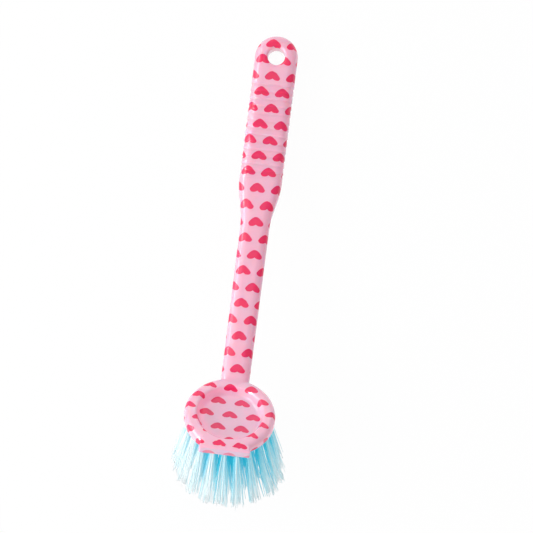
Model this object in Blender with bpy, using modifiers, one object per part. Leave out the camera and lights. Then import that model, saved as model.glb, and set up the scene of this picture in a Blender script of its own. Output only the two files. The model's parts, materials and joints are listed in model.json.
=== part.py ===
"""Dish brush: grip, shaft, round head and scraper lip in one moulding, with fanned bristle tufts.

The brush is modelled in its head's frame. The origin there is the axis of the head at the height of its
rim's underside, +Z points away from the bristles and +Y towards the handle. At the end the brush is tilted to lie as it
does on a table, on its rear bristle tips and the heel of its handle, with the origin under its middle.
Lengths are in metres.
"""

import math

import bmesh
import bpy
import numpy as np
from mathutils import Matrix, Vector

MM = 0.001

# Head, a round plate with a dished top and a crown under the dish that holds the inner tufts
HEAD_RADIUS = 27.5 * MM
HEAD_THICKNESS = 8.0 * MM
RECESS_RADIUS = 20.4 * MM
RECESS_DEPTH = 5.6 * MM
RECESS_WALL_RUN = 2.4 * MM
RECESS_FILLET = 2.2 * MM
RIM_INNER_ROUNDING = 1.6 * MM
RIM_OUTER_ROUNDING = 3.6 * MM
RIM_FOOT_ROUNDING = 2.0 * MM
CROWN_RADIUS = 19.0 * MM
CROWN_HEIGHT = 3.0 * MM
CROWN_ROUNDING = 1.2 * MM
HEAD_STEPS = 60
FILLET_STEPS = 4

# Scraper lip across the front of the head, whose flat top also cuts the rim's crest
LIP_REACH = 28.0 * MM
LIP_FRONT_WIDTH = 31.2 * MM
LIP_ROOT_WIDTH = 28.4 * MM
LIP_FRONT_HEIGHT = 4.4 * MM
LIP_ROOT_DROP = 0.35 * MM
LIP_ROOT_SINK = 0.8 * MM
LIP_FOOT = 2.0 * MM
LIP_ROUNDING = 0.9 * MM
LIP_ROUNDING_STEPS = 3
LIP_CUT_GAP = 0.05 * MM

# Handle, straight from its neck to its round end
HANDLE_PITCH = math.radians(32)
HANDLE_REACH = 195.5 * MM
GRIP_WIDTH = 26.2 * MM
GRIP_THICKNESS = 13.0 * MM
GRIP_LENGTH = 77.4 * MM
TAPER_LENGTH = 27.6 * MM
SHAFT_WIDTH = 17.9 * MM
SHAFT_THICKNESS = 10.6 * MM
NECK_WIDTH = 17.3 * MM
NECK_THICKNESS = 9.6 * MM
NECK_RISE = 2.75 * MM
NECK_INSET = 6.3 * MM
NECK_OUTSET = 4.1 * MM
NECK_SINK = 1.0 * MM
SHOULDER_WIDTH = 6.0 * MM
SHOULDER_HEIGHT_SHARE = 0.75
SHOULDER_STEPS = 5
END_STEPS = 10
TAPER_STEPS = 8
SHAFT_STEPS = 4
NECK_STEPS = 6

# Ribs of the grip: each widens towards the head, then steps in
RIB_COUNT = 13
RIB_START = 18.0 * MM
RIB_PITCH = 4.49 * MM
RIB_DEPTH = 0.4 * MM
RIB_THICKNESS_SHARE = 0.4
RIB_PLACE_SHARES = (0.0, 0.42, 0.82)
RIB_DEPTH_SHARES = (1.0, 0.35, 0.0)

# Hang hole, at the centre of the handle's round end
HANG_HOLE_RADIUS = 5.3 * MM
HANG_HOLE_ROUNDING = 1.8 * MM
HANG_HOLE_STEPS = 32
FLARE_ANGLE = math.radians(70)
FLARE_STEPS = 4

# Bristle tufts, in rings that share one centre
OUTER_RING_RADIUS = 23.0 * MM
OUTER_TIP_RADIUS = 32.0 * MM
OUTER_TUFT_COUNT = 20
MIDDLE_TUFT_COUNT = 13
INNER_TUFT_COUNT = 6
TUFT_RINGS = (
    ("outer", OUTER_TUFT_COUNT),
    ("middle", MIDDLE_TUFT_COUNT),
    ("inner", INNER_TUFT_COUNT),
    ("centre", 1),
)
BRISTLE_LENGTH = 40.0 * MM
BRISTLE_RAGGEDNESS = 1.6 * MM
HOLE_RADIUS = 2.0 * MM
HOLE_DEPTH = 3.8 * MM
HOLE_SIDES = 10
SEAT_GAP = 0.3 * MM
STRAND_RADIUS = 0.33 * MM
STRAND_SIDES = 3
STRAND_MARGIN = 0.06 * MM
INNER_STRAND_COUNT = 3
INNER_STRAND_SHARE = 0.38
OUTER_STRAND_COUNT = 8
TIP_GAP = 0.15 * MM
ROOT_SIDES = 12

# Flat metal anchor that holds a tuft's fold at the end of its hole
ANCHOR_THICKNESS = 0.5 * MM
ANCHOR_HEIGHT = 1.5 * MM
ANCHOR_PROUD = 0.2 * MM

# Rest and cuts
TIP_FLAT = 0.5 * MM
OVERRUN = 1.0 * MM
WELD = 0.01 * MM
SMOOTH_ANGLE = math.radians(35)
FLAT_ANGLE = math.radians(0.2)
GOLDEN_ANGLE = math.pi * (3 - math.sqrt(5))


def clear_scene():
    for item in list(bpy.data.objects):
        bpy.data.objects.remove(item, do_unlink=True)


def new_collection(name):
    collection = bpy.data.collections.new(name)
    bpy.context.scene.collection.children.link(collection)
    return collection


def plastic(name, colour, roughness, coat):
    material = bpy.data.materials.new(name)
    material.use_nodes = True
    shader = material.node_tree.nodes["Principled BSDF"]
    shader.inputs["Base Color"].default_value = (*colour, 1)
    shader.inputs["Roughness"].default_value = roughness
    shader.inputs["Metallic"].default_value = 0
    shader.inputs["Coat Weight"].default_value = coat
    material.diffuse_color = (*colour, 1)
    return material


def new_object(name, mesh, collection, parent=None):
    item = bpy.data.objects.new(name, mesh)
    collection.objects.link(item)
    item.parent = parent
    return item


def mesh_from(name, bm):
    mesh = bpy.data.meshes.new(name)
    bm.to_mesh(mesh)
    bm.free()
    return mesh


def as_helper(item):
    """A cutter or a shape that is joined to another, which is no piece by itself."""
    item.hide_render = True
    item.display_type = "WIRE"
    return item


def boolean(item, other, operation):
    modifier = item.modifiers.new(f"{operation.lower()} {other.name}", "BOOLEAN")
    modifier.operation = operation
    modifier.object = other
    modifier.solver = "EXACT"
    return modifier


def turned(name, profile, steps, collection, parent=None):
    """Turn a profile of (radius, height) points, which runs down its outer side, about Z."""
    bm = bmesh.new()
    points = [bm.verts.new((radius, 0, height)) for radius, height in profile]
    for first, second in zip(points, points[1:]):
        bm.edges.new((first, second))
    item = new_object(name, mesh_from(name, bm), collection, parent)
    screw = item.modifiers.new("turn", "SCREW")
    screw.axis = "Z"
    screw.steps = screw.render_steps = steps
    screw.use_merge_vertices = True
    screw.merge_threshold = WELD
    return item


def filleted(corners, steps):
    """Outline through (x, y, radius) corners, with an arc in place of each corner that has a radius."""
    outline = []
    for index, (x, y, radius) in enumerate(corners):
        corner = Vector((x, y))
        if radius == 0:
            outline.append(corner)
            continue
        before = (Vector(corners[index - 1][:2]) - corner).normalized()
        after = (Vector(corners[index + 1][:2]) - corner).normalized()
        half = before.angle(after) / 2
        centre = corner + (before + after).normalized() * radius / math.sin(half)
        start = corner + before * radius / math.tan(half) - centre
        end = corner + after * radius / math.tan(half) - centre
        sweep = start.angle(end)
        for step in range(steps + 1):
            share = step / steps
            blend = start * math.sin((1 - share) * sweep) + end * math.sin(share * sweep)
            outline.append(centre + blend / math.sin(sweep))
    return outline


def make_head(collection, root):
    """Round plate: recess floor, rim, outer wall, underside and crown in one turned profile."""
    floor = HEAD_THICKNESS - RECESS_DEPTH
    corners = (
        (0, floor, 0),
        (RECESS_RADIUS - RECESS_WALL_RUN, floor, RECESS_FILLET),
        (RECESS_RADIUS, HEAD_THICKNESS, RIM_INNER_ROUNDING),
        (HEAD_RADIUS, HEAD_THICKNESS, RIM_OUTER_ROUNDING),
        (HEAD_RADIUS, 0, RIM_FOOT_ROUNDING),
        (CROWN_RADIUS, 0, 0),
        (CROWN_RADIUS, -CROWN_HEIGHT, CROWN_ROUNDING),
        (0, -CROWN_HEIGHT, 0),
    )
    return turned("handle", filleted(corners, FILLET_STEPS), HEAD_STEPS, collection, root)


def lip_surface(reach):
    """Half width and top height of the lip at a distance in front of the head's centre."""
    root = RECESS_RADIUS + LIP_ROOT_SINK
    share = (reach - root) / (LIP_REACH - root)
    front_top = LIP_FOOT + LIP_FRONT_HEIGHT
    root_top = HEAD_THICKNESS - LIP_ROOT_DROP
    width = LIP_ROOT_WIDTH + (LIP_FRONT_WIDTH - LIP_ROOT_WIDTH) * share
    return width / 2, root_top + (front_top - root_top) * share


def wedge(name, reaches, heights_at, collection, root):
    """Box with the lip's plan between two reaches; heights_at gives its low and high face there."""
    bm = bmesh.new()
    bmesh.ops.create_cube(bm, size=1)
    for point in bm.verts:
        reach = reaches[1] if point.co.y < 0 else reaches[0]
        half_width, _ = lip_surface(reach)
        low, high = heights_at(reach)
        point.co = (
            math.copysign(half_width, point.co.x),
            -reach,
            high if point.co.z > 0 else low,
        )
    return as_helper(new_object(name, mesh_from(name, bm), collection, root))


def make_lip(collection, root):
    """Wedge from the rim to a straight front edge, wider at the front, with rounded edges."""
    reaches = (RECESS_RADIUS + LIP_ROOT_SINK, LIP_REACH)
    item = wedge("lip shape", reaches, lambda reach: (LIP_FOOT, lip_surface(reach)[1]), collection, root)
    bevel = item.modifiers.new("round edges", "BEVEL")
    bevel.width = LIP_ROUNDING
    bevel.segments = LIP_ROUNDING_STEPS
    return item


def make_crest_cutter(collection, root):
    """Space above the lip's top, carried back over the rim to the recess."""
    reaches = (RECESS_RADIUS - RECESS_WALL_RUN, HEAD_RADIUS + OVERRUN)
    top = HEAD_THICKNESS + OVERRUN
    return wedge(
        "crest cutter",
        reaches,
        lambda reach: (lip_surface(reach)[1] + LIP_CUT_GAP, top),
        collection,
        root,
    )


def rib_depth(place):
    """How far the ribs draw the grip in at a distance from the hang hole's centre."""
    along = (place - RIB_START) / RIB_PITCH
    if along < 0 or along >= RIB_COUNT:
        return 0
    return RIB_DEPTH * float(np.interp(along % 1, (*RIB_PLACE_SHARES, 1), (*RIB_DEPTH_SHARES, 0)))


def handle_half_sizes(place):
    """Half width and half thickness of the handle at a distance from the hang hole's centre."""
    share = min(max((place - GRIP_LENGTH) / TAPER_LENGTH, 0), 1)
    ease = share * share * (3 - 2 * share)
    shaft_start = GRIP_LENGTH + TAPER_LENGTH
    run = min(max((place - shaft_start) / (HANDLE_REACH - shaft_start), 0), 1)
    width = GRIP_WIDTH + (SHAFT_WIDTH - GRIP_WIDTH) * ease + (NECK_WIDTH - SHAFT_WIDTH) * run
    thickness = GRIP_THICKNESS + (SHAFT_THICKNESS - GRIP_THICKNESS) * ease
    thickness += (NECK_THICKNESS - SHAFT_THICKNESS) * run
    return width / 2, thickness / 2


def half_section(half_thickness):
    """(inset from the outline, height) points from the top's flat round one side to the bottom's: a quarter
    of an ellipse, a short upright side and another quarter."""
    shoulder = half_thickness * SHOULDER_HEIGHT_SHARE
    quarter = [math.pi / 2 * step / SHOULDER_STEPS for step in range(SHOULDER_STEPS + 1)]
    upper = [
        (SHOULDER_WIDTH * (1 - math.sin(turn)), half_thickness - shoulder * (1 - math.cos(turn)))
        for turn in quarter
    ]
    lower = [(inset, -height) for inset, height in reversed(upper)]
    return upper + lower


def neck_frame():
    """Where the straight handle starts above the rim: its centre line's (y, z) and direction."""
    along = Vector((math.cos(HANDLE_PITCH), math.sin(HANDLE_PITCH)))
    return Vector((HEAD_RADIUS + NECK_OUTSET, HEAD_THICKNESS / 2 + NECK_RISE)), along


def handle_stations():
    """Right half of each cross-section, from the buried neck to the round end's last point."""
    start, along = neck_frame()
    normal = Vector((-along.y, along.x))
    rows = []

    buried = Vector((HEAD_RADIUS - NECK_INSET, HEAD_THICKNESS / 2))
    corner = start - along * (start.y - buried.y) / along.y
    for step in range(NECK_STEPS):
        share = step / NECK_STEPS
        centre = buried * (1 - share) ** 2 + corner * 2 * share * (1 - share) + start * share ** 2
        lean = ((corner - buried) * (1 - share) + (start - corner) * share).normalized()
        half_width, half_thickness = handle_half_sizes(HANDLE_REACH)
        half_thickness -= NECK_SINK * (1 - share)
        row = [
            (half_width - inset, centre.x - lean.y * height, centre.y + lean.x * height)
            for inset, height in half_section(half_thickness)
        ]
        rows.append(row)

    def straight_row(place, half_width, half_thickness, turn):
        row = []
        for inset, height in half_section(half_thickness):
            reach = half_width - inset
            spot = start + along * (HANDLE_REACH - place + reach * math.sin(turn)) + normal * height
            row.append((reach * math.cos(turn), spot.x, spot.y))
        return row

    shaft_start = GRIP_LENGTH + TAPER_LENGTH
    places = list(np.linspace(HANDLE_REACH, shaft_start, SHAFT_STEPS, endpoint=False))
    places += list(np.linspace(shaft_start, GRIP_LENGTH, TAPER_STEPS, endpoint=False))
    places.append(GRIP_LENGTH)
    rib_places = [
        RIB_START + RIB_PITCH * (rib + share) for rib in range(RIB_COUNT) for share in RIB_PLACE_SHARES
    ]
    rib_places.append(RIB_START - RIB_PITCH * (1 - RIB_PLACE_SHARES[-1]))
    places += sorted(rib_places, reverse=True)
    for place in places:
        half_width, half_thickness = handle_half_sizes(place)
        depth = rib_depth(place)
        rows.append(straight_row(place, half_width - depth, half_thickness - depth * RIB_THICKNESS_SHARE, 0))
    half_width, half_thickness = handle_half_sizes(0)
    for step in range(END_STEPS + 1):
        rows.append(straight_row(0, half_width, half_thickness, math.pi / 2 * step / END_STEPS))
    return rows


def make_handle_bar(collection, root):
    """Loft the half sections, close them to the middle plane, and mirror them over it."""
    bm = bmesh.new()
    columns = []
    for row in handle_stations():
        middle_top = (0, *row[0][1:])
        middle_bottom = (0, *row[-1][1:])
        columns.append([bm.verts.new(point) for point in (middle_top, *row, middle_bottom)])
    for first, second in zip(columns, columns[1:]):
        for index in range(len(first) - 1):
            bm.faces.new((first[index], first[index + 1], second[index + 1], second[index]))
    bm.faces.new(reversed(columns[0]))
    bmesh.ops.remove_doubles(bm, verts=bm.verts, dist=WELD)
    item = as_helper(new_object("bar shape", mesh_from("bar shape", bm), collection, root))
    mirror = item.modifiers.new("other half", "MIRROR")
    mirror.merge_threshold = WELD
    return item


def make_hang_cutter(collection, root):
    """Hole with rounded mouths: its wall curves outwards at both faces of the grip."""
    half_thickness = GRIP_THICKNESS / 2
    mouth = []
    for step in range(FLARE_STEPS + 1):
        turn = FLARE_ANGLE * step / FLARE_STEPS
        radius = HANG_HOLE_RADIUS + HANG_HOLE_ROUNDING * (1 - math.cos(turn))
        mouth.append((radius, half_thickness - HANG_HOLE_ROUNDING * (1 - math.sin(turn))))
    radius, height = mouth[-1]
    end = half_thickness + OVERRUN
    mouth.append((radius + (end - height) * math.tan(FLARE_ANGLE), end))
    mouth.append((0, end))
    profile = list(reversed(mouth)) + [(radius, -height) for radius, height in mouth]
    cutter = as_helper(turned("hang hole cutter", profile, HANG_HOLE_STEPS, collection, root))
    start, along = neck_frame()
    centre = start + along * HANDLE_REACH
    cutter.location = (0, centre.x, centre.y)
    cutter.rotation_euler = (HANDLE_PITCH, 0, 0)
    return cutter


def tuft_placements():
    """Name, bristle length and matrix of each tuft: its origin at its hole's mouth, +Z into the hole."""
    placements = []
    splay_run = OUTER_TIP_RADIUS - OUTER_RING_RADIUS
    for ring, (ring_name, count) in enumerate(TUFT_RINGS):
        ring_share = 1 - ring / (len(TUFT_RINGS) - 1)
        height = -CROWN_HEIGHT if OUTER_RING_RADIUS * ring_share < CROWN_RADIUS else 0
        length = BRISTLE_LENGTH + height
        splay = math.atan2(splay_run * ring_share, length)
        for index in range(count):
            turn = 2 * math.pi * index / count - math.pi / 2
            spin = math.pi * (index % 2)
            name = f"tuft_{ring_name}_{index + 1:02d}" if count > 1 else f"tuft_{ring_name}"
            matrix = (
                Matrix.Rotation(turn, 4, "Z")
                @ Matrix.Translation((OUTER_RING_RADIUS * ring_share, 0, height))
                @ Matrix.Rotation(-splay, 4, "Y")
                @ Matrix.Rotation(spin, 4, "Z")
            )
            placements.append((name, length, matrix))
    return placements


def make_hole_cutter(collection, root):
    """All the blind holes for the tufts, drilled along each tuft's own splay."""
    bm = bmesh.new()
    for _, _, matrix in tuft_placements():
        bmesh.ops.create_cone(
            bm,
            cap_ends=True,
            segments=HOLE_SIDES,
            radius1=HOLE_RADIUS,
            radius2=HOLE_RADIUS,
            depth=HOLE_DEPTH + OVERRUN,
            matrix=matrix @ Matrix.Translation((0, 0, (HOLE_DEPTH - OVERRUN) / 2)),
        )
    return as_helper(new_object("hole cutter", mesh_from("hole cutter", bm), collection, root))


def make_moulding(parts, helpers, root, material):
    """Head, lip and handle joined, then the hang hole and the blind holes cut."""
    handle = make_head(parts, root)
    boolean(handle, make_crest_cutter(helpers, root), "DIFFERENCE")
    boolean(handle, make_lip(helpers, root), "UNION")
    boolean(handle, make_handle_bar(helpers, root), "UNION")
    boolean(handle, make_hang_cutter(helpers, root), "DIFFERENCE")
    boolean(handle, make_hole_cutter(helpers, root), "DIFFERENCE")
    flat = handle.modifiers.new("join flat faces", "DECIMATE")
    flat.decimate_type = "DISSOLVE"
    flat.angle_limit = FLAT_ANGLE
    handle.data.materials.append(material)
    return handle


def strand_matrix(foot, tip):
    """Matrix that lays a unit-long strand along Z between two points."""
    along = tip - foot
    turn = along.to_track_quat("Z", "Y").to_matrix().to_4x4()
    return Matrix.Translation((foot + tip) / 2) @ turn


def fan_radius():
    """Reach of a tuft's fan at its tips, so that neighbours in one ring or the next stay apart."""
    ring_step = OUTER_TIP_RADIUS / (len(TUFT_RINGS) - 1)
    half_spacings = [ring_step / 2]
    for ring, (_, count) in enumerate(TUFT_RINGS[:-1]):
        half_spacings.append((OUTER_TIP_RADIUS - ring_step * ring) * math.sin(math.pi / count))
    return min(half_spacings) - STRAND_RADIUS - TIP_GAP


def make_tuft_mesh(length, helpers, material):
    """Folded root, anchor bar and fanned strands of one length, joined into one closed body."""
    root_radius = HOLE_RADIUS - SEAT_GAP - ANCHOR_PROUD
    root_top = HOLE_DEPTH - SEAT_GAP
    bm = bmesh.new()
    bmesh.ops.create_cone(
        bm,
        cap_ends=True,
        segments=ROOT_SIDES,
        radius1=root_radius,
        radius2=root_radius,
        depth=root_top,
        matrix=Matrix.Translation((0, 0, root_top / 2)),
    )
    root_item = new_object("tuft root", mesh_from("tuft root", bm), helpers)

    bm = bmesh.new()
    strand_ring = root_radius - STRAND_RADIUS - STRAND_MARGIN
    fan = fan_radius()
    strand_rings = ((INNER_STRAND_COUNT, INNER_STRAND_SHARE), (OUTER_STRAND_COUNT, 1))
    places = [
        (reach, 2 * math.pi * (index + 0.5) / count)
        for count, reach in strand_rings
        for index in range(count)
    ]
    for index, (reach, turn) in enumerate(places):
        heading = Vector((math.cos(turn), math.sin(turn), 0)) * reach
        ragged = BRISTLE_RAGGEDNESS * (index * GOLDEN_ANGLE / math.pi % 1)
        mouth = heading * strand_ring
        tip = heading * fan - Vector((0, 0, length - ragged))
        foot = mouth + (mouth - tip) * (root_top / 2) / length
        bmesh.ops.create_cone(
            bm,
            cap_ends=True,
            segments=STRAND_SIDES,
            radius1=STRAND_RADIUS,
            radius2=STRAND_RADIUS,
            depth=(tip - foot).length,
            matrix=strand_matrix(foot, tip),
        )
    strands = new_object("tuft strands", mesh_from("tuft strands", bm), helpers)

    bm = bmesh.new()
    span = 2 * (root_radius + ANCHOR_PROUD)
    size = Matrix.Diagonal((span, ANCHOR_THICKNESS, ANCHOR_HEIGHT, 1))
    place = Matrix.Translation((0, 0, root_top - ANCHOR_HEIGHT))
    bmesh.ops.create_cube(bm, size=1, matrix=place @ size)
    anchor = new_object("tuft anchor", mesh_from("tuft anchor", bm), helpers)

    boolean(root_item, strands, "UNION")
    boolean(root_item, anchor, "UNION")
    bpy.context.view_layer.update()
    graph = bpy.context.evaluated_depsgraph_get()
    mesh = bpy.data.meshes.new_from_object(root_item.evaluated_get(graph))
    mesh.name = "tuft"
    mesh.materials.clear()
    mesh.materials.append(material)
    for item in (root_item, strands, anchor):
        bpy.data.objects.remove(item, do_unlink=True)
    return mesh


def make_tufts(parts, helpers, root, material):
    """A tuft in each hole; those of one length share one mesh."""
    placements = tuft_placements()
    meshes = {length: make_tuft_mesh(length, helpers, material) for length in {item[1] for item in placements}}
    tufts = []
    for name, length, matrix in placements:
        tuft = new_object(name, meshes[length], parts, root)
        tuft.location = matrix.to_translation()
        tuft.rotation_euler = matrix.to_euler()
        tufts.append(tuft)
    return tufts


def world_points(items):
    """Points of the finished meshes in world space, one row each."""
    bpy.context.view_layer.update()
    graph = bpy.context.evaluated_depsgraph_get()
    found = []
    for item in items:
        solid = item.evaluated_get(graph)
        mesh = solid.to_mesh()
        points = np.empty(3 * len(mesh.vertices))
        mesh.vertices.foreach_get("co", points)
        matrix = np.array(solid.matrix_world)
        found.append(points.reshape(-1, 3) @ matrix[:3, :3].T + matrix[:3, 3])
        solid.to_mesh_clear()
    return np.concatenate(found)


def rest_tilt(handle_points, tuft_points):
    """Tilt at which the handle's heel is level with the rear tips, once those are cut flat."""

    def lowest(points, tilt):
        return (points[:, 2] * math.cos(tilt) - points[:, 1] * math.sin(tilt)).min()

    low, high = 0, math.pi / 2
    while high - low > math.radians(0.0001):
        tilt = (low + high) / 2
        if lowest(handle_points, tilt) > lowest(tuft_points, tilt) + TIP_FLAT:
            low = tilt
        else:
            high = tilt
    return low


def lay_down(root, handle, tufts, helpers):
    """Tilt the brush to its rest, put the origin under its middle and cut the tips it rests on flat."""
    tilt = rest_tilt(world_points([handle]), world_points(tufts))
    root.rotation_euler = (-tilt, 0, 0)
    handle_points = world_points([handle])
    points = np.concatenate((handle_points, world_points(tufts)))
    middle = (points.min(axis=0) + points.max(axis=0)) / 2
    root.location = (-middle[0], -middle[1], -handle_points[:, 2].min())
    bpy.context.view_layer.update()

    bm = bmesh.new()
    span = 2 * OUTER_TIP_RADIUS + 2 * BRISTLE_LENGTH
    depth = TIP_FLAT + OVERRUN
    size = Matrix.Diagonal((span, 2 * HANDLE_REACH + span, depth, 1))
    bmesh.ops.create_cube(bm, size=1, matrix=Matrix.Translation((0, 0, -depth / 2)) @ size)
    table = as_helper(new_object("table cutter", mesh_from("table cutter", bm), helpers))
    for tuft in tufts:
        if world_points([tuft])[:, 2].min() < 0:
            boolean(tuft, table, "DIFFERENCE")


def smooth(items):
    for mesh in {item.data for item in items}:
        mesh.shade_smooth()
        mesh.set_sharp_from_angle(angle=SMOOTH_ANGLE)


def main():
    clear_scene()
    parts = new_collection("dish brush")
    helpers = new_collection("helper shapes")
    root = new_object("brush frame", None, parts)
    pink = plastic("pink gloss plastic", (0.89, 0.46, 0.62), 0.18, 1)
    blue = plastic("pale blue nylon", (0.62, 0.88, 0.94), 0.4, 0)
    handle = make_moulding(parts, helpers, root, pink)
    tufts = make_tufts(parts, helpers, root, blue)
    smooth([handle, *tufts])
    lay_down(root, handle, tufts, helpers)


main()
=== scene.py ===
"""Looks of the dish brush: a glossy printed moulding with its fanned nylon tufts, on a white table."""

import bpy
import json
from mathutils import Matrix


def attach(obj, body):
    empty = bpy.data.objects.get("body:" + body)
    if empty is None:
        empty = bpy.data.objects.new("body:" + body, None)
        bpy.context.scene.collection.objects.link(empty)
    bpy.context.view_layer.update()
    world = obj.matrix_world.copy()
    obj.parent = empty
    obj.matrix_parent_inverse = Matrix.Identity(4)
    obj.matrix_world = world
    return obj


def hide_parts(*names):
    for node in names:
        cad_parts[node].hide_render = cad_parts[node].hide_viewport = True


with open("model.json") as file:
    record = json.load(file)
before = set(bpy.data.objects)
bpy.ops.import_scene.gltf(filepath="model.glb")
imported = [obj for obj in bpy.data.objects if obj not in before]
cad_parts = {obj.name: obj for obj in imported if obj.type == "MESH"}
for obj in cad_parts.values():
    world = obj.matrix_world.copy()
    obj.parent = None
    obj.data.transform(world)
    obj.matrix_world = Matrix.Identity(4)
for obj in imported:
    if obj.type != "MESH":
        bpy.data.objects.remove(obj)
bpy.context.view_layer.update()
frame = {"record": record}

import json
import math

import bmesh
import bpy
import numpy as np
from mathutils import Matrix, Vector, kdtree

MM = 0.001

# Head
HEAD_RADIUS = 27.5 * MM
HEAD_THICKNESS = 8.0 * MM
RECESS_RADIUS = 20.4 * MM
RECESS_DEPTH = 5.6 * MM
RECESS_WALL_RUN = 2.4 * MM
RECESS_FILLET = 2.2 * MM
RIM_INNER_ROUNDING = 1.6 * MM
RIM_OUTER_ROUNDING = 3.6 * MM
RIM_FOOT_ROUNDING = 2.0 * MM
CROWN_RADIUS = 19.0 * MM
CROWN_HEIGHT = 3.0 * MM
CROWN_ROUNDING = 1.2 * MM
HEAD_TURNS = 288
HEAD_STEP = 0.7 * MM
FILLET_STEPS = 10

# Scraper lip
LIP_REACH = 28.0 * MM
LIP_FRONT_WIDTH = 31.2 * MM
LIP_ROOT_WIDTH = 28.4 * MM
LIP_FRONT_HEIGHT = 4.4 * MM
LIP_ROOT_DROP = 0.35 * MM
LIP_ROOT_SINK = 0.8 * MM
LIP_FOOT = 2.0 * MM
LIP_ROUNDING = 0.9 * MM
LIP_SET_BACK = 0.8 * MM
LIP_FRONT_SLOPE = 1.8 * MM
LIP_EDGE_PRINT_SHIFT = 2.0 * MM
LIP_CELL = 0.5 * MM
LIP_ARC_STEPS = 5
PRESS_GAP = 0.02 * MM
PRESS_BLEND = 0.8 * MM
PRESS_START = 17.0 * MM

# Material slots that tell the joined shapes apart
HEAD_SLOT, LIP_SLOT, HANDLE_SLOT, CUT_SLOT = range(4)

# Handle
HANDLE_PITCH = math.radians(32)
HANDLE_REACH = 195.5 * MM
GRIP_WIDTH = 26.2 * MM
GRIP_THICKNESS = 13.0 * MM
GRIP_LENGTH = 77.4 * MM
TAPER_LENGTH = 27.6 * MM
SHAFT_WIDTH = 17.9 * MM
SHAFT_THICKNESS = 10.6 * MM
NECK_WIDTH = 17.3 * MM
NECK_THICKNESS = 9.6 * MM
NECK_RISE = 2.75 * MM
NECK_INSET = 6.3 * MM
NECK_OUTSET = 4.1 * MM
NECK_SINK = 1.0 * MM
SHOULDER_WIDTH = 6.0 * MM
SHOULDER_HEIGHT_SHARE = 0.75
FLAT_STEPS = 10
SHOULDER_STEPS = 14
NECK_STEPS = 32
SHAFT_STEP = 1.5 * MM
TAPER_STEP = 0.9 * MM
GRIP_STEP = 0.32 * MM
END_STEPS = 26

# Ribs of the grip
RIB_COUNT = 13
RIB_START = 18.0 * MM
RIB_PITCH = 4.49 * MM
RIB_DEPTH = 0.4 * MM
RIB_THICKNESS_SHARE = 1.6
RIB_PLACE_SHARES = (0, 0.06, 0.42, 0.82, 0.93, 1)
RIB_DEPTH_SHARES = (0.8, 1.0, 0.35, 0.0, 0.0, 0.8)

# Hang hole
HANG_HOLE_RADIUS = 5.3 * MM
HANG_HOLE_ROUNDING = 1.8 * MM
HANG_HOLE_TURNS = 96
FLARE_ANGLE = math.radians(80)
FLARE_STEPS = 8
OVERRUN = 1.0 * MM
HANG_FACE_PLACE = 12.0 * MM

# Tufts
OUTER_RING_RADIUS = 23.0 * MM
OUTER_TIP_RADIUS = 32.0 * MM
TUFT_RINGS = (("outer", 20), ("middle", 13), ("inner", 6), ("centre", 1))
BRISTLE_LENGTH = 40.0 * MM
HOLE_RADIUS = 2.0 * MM
HOLE_DEPTH = 3.8 * MM
HOLE_SIDES = 24
FILAMENTS = 46
FILAMENT_RADIUS = 0.25 * MM
FILAMENT_TAPER = 0.3
FILAMENT_SIDES = 3
FILAMENT_STATIONS = 6
ROOT_RADIUS = 1.7 * MM
ROOT_DEPTH = 3.0 * MM
FAN_DEPTH = 2.6 * MM
FAN_WIDTH = 5.2 * MM
INNER_FAN = 1.35
CLUMPS = 13
CLUMP_PULL = 0.62
CLUMP_SHARE = 0.6
RAGGEDNESS = 5.5 * MM
RAGGED_POWER = 2.2
OVERREACH = 2.0 * MM
SPREAD_POWER = 1.1
BEND = 0.3 * MM
TIP_SCATTER = 0.35 * MM
STRAY_SHARE = 0.1
STRAY_SCATTER = 1.6 * MM
LEAN = 0.6 * MM
SIDE_LEAN = 11.7 * MM
FRONT_LEAN = 1.4 * MM
LEAN_POWER = 1.5
OFF_AXIS = (1.0, 0.3, 0.2)
GOLDEN_ANGLE = math.pi * (3 - math.sqrt(5))

# Painted shade on the nylon, as a stronger cyan: inside the brush, on a tuft's inner side and flanks, and to
# the right, away from the light
SHADE_INSIDE = 1.3
SHADE_INNER_SIDE = 0.3
SHADE_FLANKS = 0.6
SHADE_FLANK_LOSS = 0.4
SHADE_RIGHT = 0.42
SHADE_SIDE_LOSS = 0.1
SHADE_LOSS = 0.14

# Painted pink glow, standing in for light that the plastic bounces into the dish's wall and onto the head's
# outer wall
PAINTED_GLOW_START = 13.0 * MM
PAINTED_GLOW_FULL = 17.0 * MM
GLOW_DEPTH = 2.0 * MM
GLOW_MARGIN = 1.0 * MM
PAINTED_OUTER_GLOW = 0.5

# Inner corners of the moulding are rounded by easing the surface near them
JOINT_ROUNDING = 0.8 * MM
EASE_PASSES = 24
WELD = 0.002 * MM
SMOOTH_ANGLE = math.radians(35)

# Printed hearts: a lattice whose every other row is shifted by half a pitch
HEART_PITCH = 12.88 * MM
HEART_ROW = 10.05 * MM
HEART_WIDTH = 9.4 * MM
HEART_HEIGHT = 5.7 * MM
GRIP_HEARTS_ROUND = 5
SHAFT_HEARTS_ROUND = 4
HANDLE_SHEAR = 0.0943
HANDLE_BOW = 0.0747
HANDLE_SHIFT = (-4.47 * MM, -2.74 * MM)
TAPER_DRAW = 0.8 * MM
TAPER_DRAW_PLACE = 73.0 * MM
TAPER_DRAW_REACH = 32.0 * MM
HEAD_PITCH = 14.38 * MM
HEAD_ROW = 9.8 * MM
HEAD_SHEAR = 0.1255
HEAD_TURN = 0.0183
HEAD_CENTRE = (0.24 * MM, 2.67 * MM)
HEAD_HEART_SCALE = (0.9, 0.92)
LIP_HEART_SHRINK = 0.2
HEAD_REGION = 1.0
LIP_REGION = 2.0
REFLECTION_REGION = 3.0
PRINT_END = 197.5 * MM

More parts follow.
